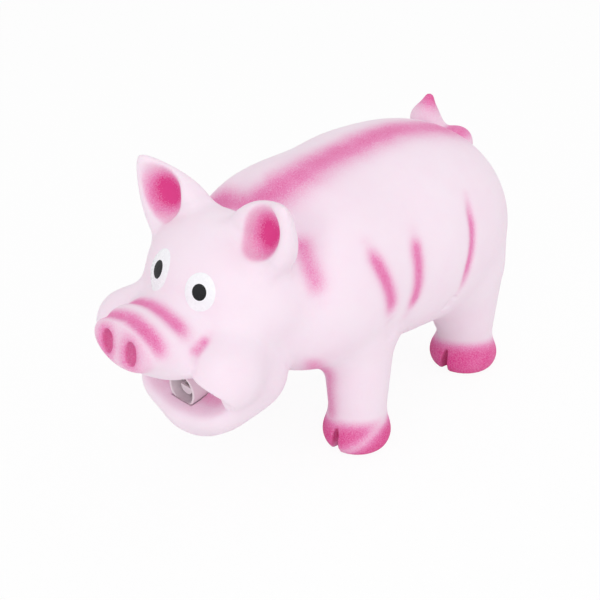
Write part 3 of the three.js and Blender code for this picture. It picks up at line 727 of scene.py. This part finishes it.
def open_loops(faces):
    """Loops of vertices along the edges that only one face has."""
    edges = set()
    for face in faces:
        for a, b in zip(face, [*face[1:], face[0]]):
            if (b, a) in edges:
                edges.remove((b, a))
            else:
                edges.add((a, b))
    following = {}
    for a, b in sorted(edges):
        following.setdefault(a, []).append(b)
    loops = []
    while following:
        current = next(iter(following))
        walked = []
        while current in following:
            walked.append(current)
            after = following[current].pop()
            if not following[current]:
                del following[current]
            if after in walked:
                loops.append(walked[walked.index(after):])
                del walked[walked.index(after):]
            current = after
    return loops


def mesh_object(name, points, faces, normals=None, **attributes):
    """A smooth mesh in the frame, with optional vertex normals and named values of its first vertices."""
    mesh = bpy.data.meshes.new(name)
    mesh.from_pydata(to_frame(points).tolist(), [], [list(map(int, f)) for f in faces])
    mesh.polygons.foreach_set("use_smooth", [True] * len(mesh.polygons))
    for key, values in attributes.items():
        layer = mesh.attributes.new(key, "FLOAT", "POINT")
        full = np.zeros(len(mesh.vertices), np.float32)
        full[:len(values)] = values
        layer.data.foreach_set("value", full)
    if normals is not None:
        mesh.normals_split_custom_set_from_vertices(normals.tolist())
    mesh.update()
    piece = bpy.data.objects.new(name, mesh)
    bpy.context.scene.collection.objects.link(piece)
    return piece


def part_of(name, chosen, vertices, faces, normals, paint, gloss):
    """A piece of the skin made of the chosen faces, closed where an ear joins the head."""
    kept = faces[chosen]
    used = np.unique(kept)
    renumber = np.full(len(vertices), -1)
    renumber[used] = np.arange(len(used))
    own_faces = renumber[kept].tolist()
    points = vertices[used]
    own_normals = normals[used]
    for loop in open_loops(own_faces):
        inner = list(range(len(points), len(points) + len(loop)))
        points = np.concatenate([points, points[loop] - CAP_INSET * own_normals[loop]])
        own_normals = np.concatenate([own_normals, own_normals[loop]])
        for i, vertex in enumerate(loop):
            own_faces.append([loop[i - 1], inner[i - 1], inner[i], vertex][::-1])
        own_faces.append(inner[::-1])
    return mesh_object(name, points, own_faces, own_normals, pink=paint[used], gloss=gloss[used])


def ear_direction(side):
    lean = math.radians(EAR_LEAN_DEG)
    return np.array((side * math.sin(lean), 0, math.cos(lean)))


def ear_root(side):
    return np.array((side * EAR_ROOT[0], EAR_ROOT[1], EAR_ROOT[2]))


def make_skin():
    xs = axis_steps((-GRID_HALF_WIDTH, GRID_HALF_WIDTH), (GRID_STEP,))
    ys = axis_steps((GRID_FRONT, GRID_HEAD_END, GRID_BACK), (GRID_HEAD_STEP, GRID_BODY_STEP))
    zs = axis_steps((GRID_BOTTOM, GRID_TOP), (GRID_STEP,))
    vertices, faces = surface(skin_form, xs, ys, zs)
    vertices = settle(skin_field, vertices, GRID_STEP / 2)
    normals, _ = slope(skin_field, vertices)
    middles = vertices[faces].mean(axis=1)
    rest = np.ones(len(faces), bool)
    pieces = {}
    looks = (vertices, faces, normals, skin_paint(vertices), skin_gloss(vertices))
    for name, side in EARS.items():
        offset = middles - ear_root(side)
        chosen = offset @ ear_direction(side) > EAR_SPLIT
        chosen &= (np.abs(offset[:, 1]) < EAR_REACH) & (side * middles[:, 0] > 0)
        rest &= ~chosen
        pieces[name] = part_of(name + "_skin", chosen, *looks)
    pieces["body"] = part_of("latex_skin", rest, *looks)
    return pieces


def make_tail():
    vertices, faces = surface(tail_field, *grid_axes(TAIL_BOX, TAIL_GRID_STEP))
    vertices = settle(tail_field, vertices, TAIL_SETTLE)
    normals, _ = slope(tail_field, vertices)
    no_gloss = np.zeros(len(vertices))
    return mesh_object("tail_skin", vertices, faces, normals, pink=tail_paint(vertices), gloss=no_gloss)


def make_eye(name, at, taller, white_and_black):
    """A thin closed lens of paint on the skin: rings of points laid on it round the eye's middle."""
    centre = settle(skin_field, np.array([at], float), EYE_LAY_MOST)
    normal = slope(skin_field, centre)[0][0]
    side = np.cross((0, 0, 1), normal)
    side /= np.linalg.norm(side)
    up = np.cross(normal, side)
    pupil_half = np.multiply(PUPIL_HALF, (1, taller))
    white_half = np.multiply(EYE_WHITE_HALF, (1, taller))
    points = [centre[0] + normal * EYE_PROUD]
    share_of_ring = [0]
    for ring in range(1, 2 * EYE_RINGS + 1):
        if ring <= EYE_RINGS:
            half = pupil_half * ring / EYE_RINGS
        else:
            half = pupil_half + (white_half - pupil_half) * (ring / EYE_RINGS - 1)
        for corner in range(EYE_SIDES):
            angle = 2 * math.pi * corner / EYE_SIDES
            points.append(centre[0] + side * half[0] * math.cos(angle) + up * half[1] * math.sin(angle))
            share_of_ring.append(ring / (2 * EYE_RINGS))
    points = np.array(points)
    share = np.array(share_of_ring)
    for _ in range(EYE_LAY_STEPS):
        gap = np.clip(skin_field(points.T), -EYE_LAY_MOST, EYE_LAY_MOST)
        points = points - gap[:, None] * normal * EYE_LAY_SHARE
    top = points + normal * (EYE_PROUD * (1 - share ** EYE_EDGE_POWER) + EYE_EDGE_PROUD)[:, None]
    under = points - normal * EYE_DEPTH
    count = len(points)
    faces = []
    for face in disc_faces(2 * EYE_RINGS, EYE_SIDES):
        faces.append(face)
        faces.append(tuple(count + i for i in reversed(face)))
    last = count - EYE_SIDES
    for corner in range(EYE_SIDES):
        after = (corner + 1) % EYE_SIDES
        faces.append((last + after, last + corner, count + last + corner, count + last + after))
    eye = mesh_object(name, np.concatenate([top, under]), faces)
    give(eye, *white_and_black)
    for polygon in eye.data.polygons:
        in_pupil = max(polygon.vertices) <= EYE_SIDES * EYE_RINGS
        polygon.material_index = 1 if in_pupil else 0
    return eye


def disc_faces(rings, sides):
    """Faces of a disc of rings of points round a middle point."""
    faces = []
    for corner in range(sides):
        after = (corner + 1) % sides
        faces.append((0, 1 + corner, 1 + after))
        for ring in range(rings - 1):
            inner = 1 + ring * sides
            outer = inner + sides
            faces.append((inner + corner, outer + corner, outer + after, inner + after))
    return faces


def make_filling():
    """Loose fibre that fills the body, lumpy all over."""
    def lumpy(p):
        form = np.maximum(torso(p) + FILL_SINK, skin_form(p) + FILL_CLEARANCE)
        for height, rates, phases in FILL_LUMPS:
            waves = [np.sin(rate * c + phase) for c, rate, phase in zip(p, rates, phases)]
            form = form + height * waves[0] * waves[1] * waves[2]
        return form
    vertices, faces = surface(lumpy, *grid_axes(FILL_BOX, FILL_GRID_STEP))
    return mesh_object("fibre_fill", settle(lumpy, vertices, FILL_SETTLE), faces)


def make_tube():
    """The voice tube as a revolved wall with rounded lips and a bead round it."""
    lip = TUBE_WALL / 2
    mid = TUBE_RADIUS - lip
    front = []
    back = []
    for i in range(TUBE_LIP_STEPS + 1):
        angle = math.pi * i / TUBE_LIP_STEPS
        front.append((mid - lip * math.cos(angle), lip - lip * math.sin(angle)))
        back.append((mid + lip * math.cos(angle), TUBE_LENGTH - lip + lip * math.sin(angle)))
    bead = []
    for i in range(TUBE_BEAD_STEPS + 1):
        angle = math.pi * i / TUBE_BEAD_STEPS
        place = TUBE_BEAD_AT - TUBE_BEAD_HALF_WIDTH * math.cos(angle)
        bead.append((TUBE_RADIUS + TUBE_BEAD * math.sin(angle), place))
    profile = [*front, *bead, *back]
    points = []
    for radius, along in profile:
        for corner in range(TUBE_SIDES):
            angle = 2 * math.pi * corner / TUBE_SIDES
            points.append((
                TUBE_END_AT[0] + radius * math.cos(angle),
                TUBE_END_AT[1] + along,
                TUBE_END_AT[2] + radius * math.sin(angle),
            ))
    faces = []
    rings = len(profile)
    for ring in range(rings):
        for corner in range(TUBE_SIDES):
            after = (corner + 1) % TUBE_SIDES
            here = ring * TUBE_SIDES
            there = ((ring + 1) % rings) * TUBE_SIDES
            faces.append((here + corner, there + corner, there + after, here + after))
    return mesh_object("voice_tube_wall", points, faces)


# Materials

def srgb(red, green, blue):
    """An 8-bit colour as linear light."""
    values = [c / 255 for c in (red, green, blue)]
    linear = [v / 12.92 if v <= 0.04045 else ((v + 0.055) / 1.055) ** 2.4 for v in values]
    return (*linear, 1)


# Stops of the airbrushed pink, pairs of colours that a noise mixes, and a noise's usual range
LATEX = srgb(249, 233, 244)
LATEX_ROSY = srgb(242, 196, 221)
LATEX_PINK = srgb(235, 140, 190)
LATEX_DEEP = srgb(222, 62, 140)
PINK_STOPS = ((0, LATEX), (0.22, LATEX_ROSY), (0.5, LATEX_PINK), (1, LATEX_DEEP))
EYE_WHITES = (srgb(248, 247, 251), srgb(246, 245, 250))
PUPIL_BLACKS = (srgb(24, 23, 27), srgb(32, 31, 36))
PLASTIC_WHITES = (srgb(238, 226, 232), srgb(230, 214, 222))
AMBERS = (srgb(216, 201, 160), srgb(204, 186, 140))
FIBRE_WHITES = (srgb(214, 210, 204), srgb(247, 245, 241))
FLOOR_WHITES = ((0.93, 0.93, 0.93, 1), (0.95, 0.95, 0.95, 1))
FIBRE_STRETCH = (1, 0.12, 0.4)
NOISE_LOW = 0.3
NOISE_HIGH = 0.7


class Nodes:
    """A material's node tree, with short calls to add and link nodes."""

    def __init__(self, name):
        self.material = bpy.data.materials.new(name)
        self.material.use_nodes = True
        self.tree = self.material.node_tree
        self.shader = self.tree.nodes["Principled BSDF"]
        self.place = self.add("ShaderNodeTexCoord").outputs["Object"]

    def add(self, kind, **values):
        node = self.tree.nodes.new(kind)
        for key, value in values.items():
            setattr(node, key, value)
        return node

    def link(self, source, target):
        self.tree.links.new(source, target)

    def noise(self, scale, detail=3.0, roughness=0.55):
        node = self.add("ShaderNodeTexNoise")
        node.inputs["Scale"].default_value = scale
        node.inputs["Detail"].default_value = detail
        node.inputs["Roughness"].default_value = roughness
        self.link(self.place, node.inputs["Vector"])
        return node.outputs["Fac"]

    def spread(self, source, to_low, to_high, low=NOISE_LOW, high=NOISE_HIGH):
        """A value, such as a noise, carried over from its usual range to another."""
        node = self.add("ShaderNodeMapRange")
        for key, value in (("From Min", low), ("From Max", high), ("To Min", to_low), ("To Max", to_high)):
            node.inputs[key].default_value = value
        self.link(source, node.inputs["Value"])
        return node.outputs["Result"]

    def math(self, operation, a, b):
        node = self.add("ShaderNodeMath", operation=operation)
        for socket, value in zip(node.inputs, (a, b)):
            if isinstance(value, (int, float)):
                socket.default_value = value
            else:
                self.link(value, socket)
        return node.outputs["Value"]

    def colours(self, source, stops):
        node = self.add("ShaderNodeValToRGB")
        ramp_stops = node.color_ramp.elements
        while len(ramp_stops) < len(stops):
            ramp_stops.new(0.5)
        for element, (position, colour) in zip(ramp_stops, stops):
            element.position = position
            element.color = colour
        self.link(source, node.inputs["Fac"])
        return node.outputs["Color"]

    def tints(self, source, pair):
        """Two colours mixed by a noise."""
        return self.colours(source, ((NOISE_LOW, pair[0]), (NOISE_HIGH, pair[1])))

    def attribute(self, name):
        return self.add("ShaderNodeAttribute", attribute_name=name).outputs["Fac"]

    def bump(self, height, distance, normal=None):
        node = self.add("ShaderNodeBump")
        node.inputs["Strength"].default_value = 1
        node.inputs["Distance"].default_value = distance
        self.link(height, node.inputs["Height"])
        if normal is not None:
            self.link(normal, node.inputs["Normal"])
        return node.outputs["Normal"]

    def set(self, **values):
        for key, value in values.items():
            socket = self.shader.inputs[key.replace("_", " ")]
            if hasattr(value, "is_linked"):
                self.link(value, socket)
            else:
                socket.default_value = value


def latex_material(name):
    """Satin cast latex, airbrushed: the spray's fine grain breaks up the pink, which holds some painted shade
    too.
    """
    nodes = Nodes(name)
    grain = nodes.spread(nodes.noise(1700, 2.0), 0.72, 1.28)
    drift = nodes.spread(nodes.noise(70), 0.9, 1.1, 0.35, 0.65)
    # The pink attribute holds the airbrushed paint and the strokes of painted shade
    sprayed = nodes.math("MULTIPLY", nodes.math("MULTIPLY", nodes.attribute("pink"), grain), drift)
    mottle = nodes.spread(nodes.noise(45, 4.0), 0, 0.035)
    colour = nodes.colours(nodes.math("ADD", sprayed, mottle), PINK_STOPS)
    matt = nodes.spread(nodes.noise(260), 0.5, 0.62)
    roughness = nodes.math("SUBTRACT", matt, nodes.math("MULTIPLY", nodes.attribute("gloss"), 0.3))
    pores = nodes.bump(nodes.noise(2300, 2.0), 0.00004)
    waves = nodes.bump(nodes.noise(190), 0.0001, pores)
    nodes.set(
        Base_Color=colour, Roughness=roughness, Normal=waves, IOR=1.45, Specular_IOR_Level=0.35,
        Subsurface_Weight=0.12, Subsurface_Scale=0.002, Subsurface_Radius=(1, 0.45, 0.6))
    return nodes.material


def eye_white_material():
    nodes = Nodes("eye_white_paint")
    tint = nodes.tints(nodes.noise(220), EYE_WHITES)
    gloss = nodes.spread(nodes.noise(500), 0.22, 0.32)
    nodes.set(Base_Color=tint, Roughness=gloss, Normal=nodes.bump(nodes.noise(600), 0.00003))
    return nodes.material


def pupil_material():
    nodes = Nodes("pupil_black_paint")
    tint = nodes.tints(nodes.noise(300), PUPIL_BLACKS)
    gloss = nodes.spread(nodes.noise(500), 0.2, 0.3)
    grain = nodes.bump(nodes.noise(600), 0.00003)
    nodes.set(Base_Color=tint, Roughness=gloss, Normal=grain, Specular_IOR_Level=0.2)
    return nodes.material


def plastic_material(name, pair):
    """Moulded plastic with faint flow marks."""
    nodes = Nodes(name)
    tint = nodes.tints(nodes.noise(160, 4.0), pair)
    gloss = nodes.spread(nodes.noise(420), 0.3, 0.42)
    nodes.set(Base_Color=tint, Roughness=gloss, Normal=nodes.bump(nodes.noise(900), 0.00004))
    return nodes.material


def fibre_material():
    """White fibre, matt and streaky."""
    nodes = Nodes("polyester_fibre")
    stretch = nodes.add("ShaderNodeMapping")
    stretch.inputs["Scale"].default_value = FIBRE_STRETCH
    nodes.link(nodes.place, stretch.inputs["Vector"])
    nodes.place = stretch.outputs["Vector"]
    strands = nodes.noise(900, 5.0, 0.7)
    tint = nodes.tints(strands, FIBRE_WHITES)
    matt = nodes.spread(strands, 0.8, 1)
    nodes.set(Base_Color=tint, Roughness=matt, Sheen_Weight=0.4, Normal=nodes.bump(strands, 0.0006))
    return nodes.material


def give(piece, *materials):
    piece.data.materials.clear()
    for material in materials:
        piece.data.materials.append(material)
    return piece


# Assembly

def frame_point(point):
    return tuple(to_frame([point])[0])


skins = make_skin()
latex = latex_material("airbrushed_latex")

body = give(skins["body"], latex)
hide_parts("body_skin", "back_panel", "head_skin", *LEGS)
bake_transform(body)

for name, side in EARS.items():
    ear_piece = give(skins[name], latex)
    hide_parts(name)
    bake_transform(ear_piece)

tail_piece = give(make_tail(), latex)
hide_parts("tail")
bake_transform(tail_piece)

eye_paint = (eye_white_material(), pupil_material())
for name, (at, taller) in EYES.items():
    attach(make_eye(name, at, taller, eye_paint), "body")

filling = give(make_filling(), fibre_material())
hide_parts("fibre_filling")
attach(filling, "body")
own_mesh(filling)

white_plastic = plastic_material("white_plastic", PLASTIC_WHITES)
tube = give(make_tube(), white_plastic)
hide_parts("voice_tube")
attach(tube, "body")
for name in ("reed_block", "reed_wedge"):
    give(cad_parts[name], white_plastic)
give(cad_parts["reed"], plastic_material("amber_film", AMBERS))


# Stage, in metres: light, floor, lamps (name, direction, distance, size, level) and the photograph's camera
AMBIENT = 0.7
FLOOR_HALF = 4
FLOOR_GLOW = 0.93
LIT_POINT = Vector((0, 0, 0.07))
LAMPS = (
    ("key", (0.55, -0.75, 0.6), 1.1, 1.0, 0.245),
    ("front", (-0.35, -1, 0.15), 1.1, 0.8, 0.055),
    ("top", (0.1, 0.3, 1), 1.2, 1.2, 0.1),
    ("side", (1, 0.2, 0.45), 1.2, 0.9, 0.08),
)
CAMERA_AZIMUTH_DEG = 43.8
CAMERA_ELEVATION_DEG = 29
CAMERA_DISTANCE = 0.45225
CAMERA_TARGET = frame_point((4.3, -51.6, 67.9))
CAMERA_LENS = 60.3
CAMERA_SENSOR = 36
CAMERA_CLIP_START = 0.01


def backdrop():
    """White behind the object, and an even soft light on it."""
    world = bpy.data.worlds.new("studio")
    bpy.context.scene.world = world
    world.use_nodes = True
    tree = world.node_tree
    tree.nodes.clear()
    path = tree.nodes.new("ShaderNodeLightPath")
    seen = tree.nodes.new("ShaderNodeMath")
    seen.operation = "MAXIMUM"
    tree.links.new(path.outputs["Is Camera Ray"], seen.inputs[0])
    tree.links.new(path.outputs["Is Transmission Ray"], seen.inputs[1])
    seen_or_mirrored = tree.nodes.new("ShaderNodeMath")
    seen_or_mirrored.operation = "MAXIMUM"
    tree.links.new(seen.outputs[0], seen_or_mirrored.inputs[0])
    tree.links.new(path.outputs["Is Glossy Ray"], seen_or_mirrored.inputs[1])
    light = tree.nodes.new("ShaderNodeBackground")
    light.inputs["Color"].default_value = (1, 1, 1, 1)
    light.inputs["Strength"].default_value = AMBIENT
    white = tree.nodes.new("ShaderNodeBackground")
    white.inputs["Color"].default_value = (1, 1, 1, 1)
    white.inputs["Strength"].default_value = 1
    mix = tree.nodes.new("ShaderNodeMixShader")
    tree.links.new(seen_or_mirrored.outputs[0], mix.inputs[0])
    tree.links.new(light.outputs[0], mix.inputs[1])
    tree.links.new(white.outputs[0], mix.inputs[2])
    output = tree.nodes.new("ShaderNodeOutputWorld")
    tree.links.new(mix.outputs[0], output.inputs["Surface"])


def floor():
    """A pale floor that the camera sees as white apart from the object's soft shadow."""
    corners = [(x * FLOOR_HALF, y * FLOOR_HALF, 0) for x, y in ((-1, -1), (1, -1), (1, 1), (-1, 1))]
    mesh = bpy.data.meshes.new("floor")
    mesh.from_pydata(corners, [], [(0, 1, 2, 3)])
    plane = bpy.data.objects.new("floor", mesh)
    bpy.context.scene.collection.objects.link(plane)
    nodes = Nodes("floor_white")
    nodes.set(Base_Color=nodes.tints(nodes.noise(3), FLOOR_WHITES), Roughness=0.9, Specular_IOR_Level=0.0)
    path = nodes.add("ShaderNodeLightPath")
    glow = nodes.add("ShaderNodeEmission")
    mix = nodes.add("ShaderNodeMixShader")
    nodes.link(nodes.math("MULTIPLY", path.outputs["Is Camera Ray"], FLOOR_GLOW), mix.inputs[0])
    nodes.link(nodes.shader.outputs[0], mix.inputs[1])
    nodes.link(glow.outputs[0], mix.inputs[2])
    nodes.link(mix.outputs[0], nodes.tree.nodes["Material Output"].inputs["Surface"])
    mesh.materials.append(nodes.material)


def lamp(name, direction, distance, size, level):
    """A soft square lamp that lights a facing white surface to a share of full white."""
    data = bpy.data.lights.new(name, "AREA")
    data.size = size
    data.energy = level * (math.pi * distance) ** 2
    at = Vector(direction).normalized() * distance + LIT_POINT
    lit = bpy.data.objects.new(name, data)
    lit.location = at
    lit.rotation_euler = (LIT_POINT - at).to_track_quat("-Z", "Y").to_euler()
    bpy.context.scene.collection.objects.link(lit)


def camera():
    """The photograph's view: azimuth and elevation round a point, distance and lens."""
    data = bpy.data.cameras.new("camera")
    data.lens = CAMERA_LENS
    data.sensor_width = CAMERA_SENSOR
    eye = bpy.data.objects.new("camera", data)
    bpy.context.scene.collection.objects.link(eye)
    azimuth = math.radians(CAMERA_AZIMUTH_DEG)
    elevation = math.radians(CAMERA_ELEVATION_DEG)
    level = math.cos(elevation)
    back = Vector((math.sin(azimuth) * level, -math.cos(azimuth) * level, math.sin(elevation)))
    eye.location = Vector(CAMERA_TARGET) + back * CAMERA_DISTANCE
    eye.rotation_euler = (-back).to_track_quat("-Z", "Y").to_euler()
    data.clip_start = CAMERA_CLIP_START
    bpy.context.scene.camera = eye


backdrop()
floor()
for settings in LAMPS:
    lamp(*settings)
camera()
bpy.context.scene.view_settings.view_transform = "Standard"
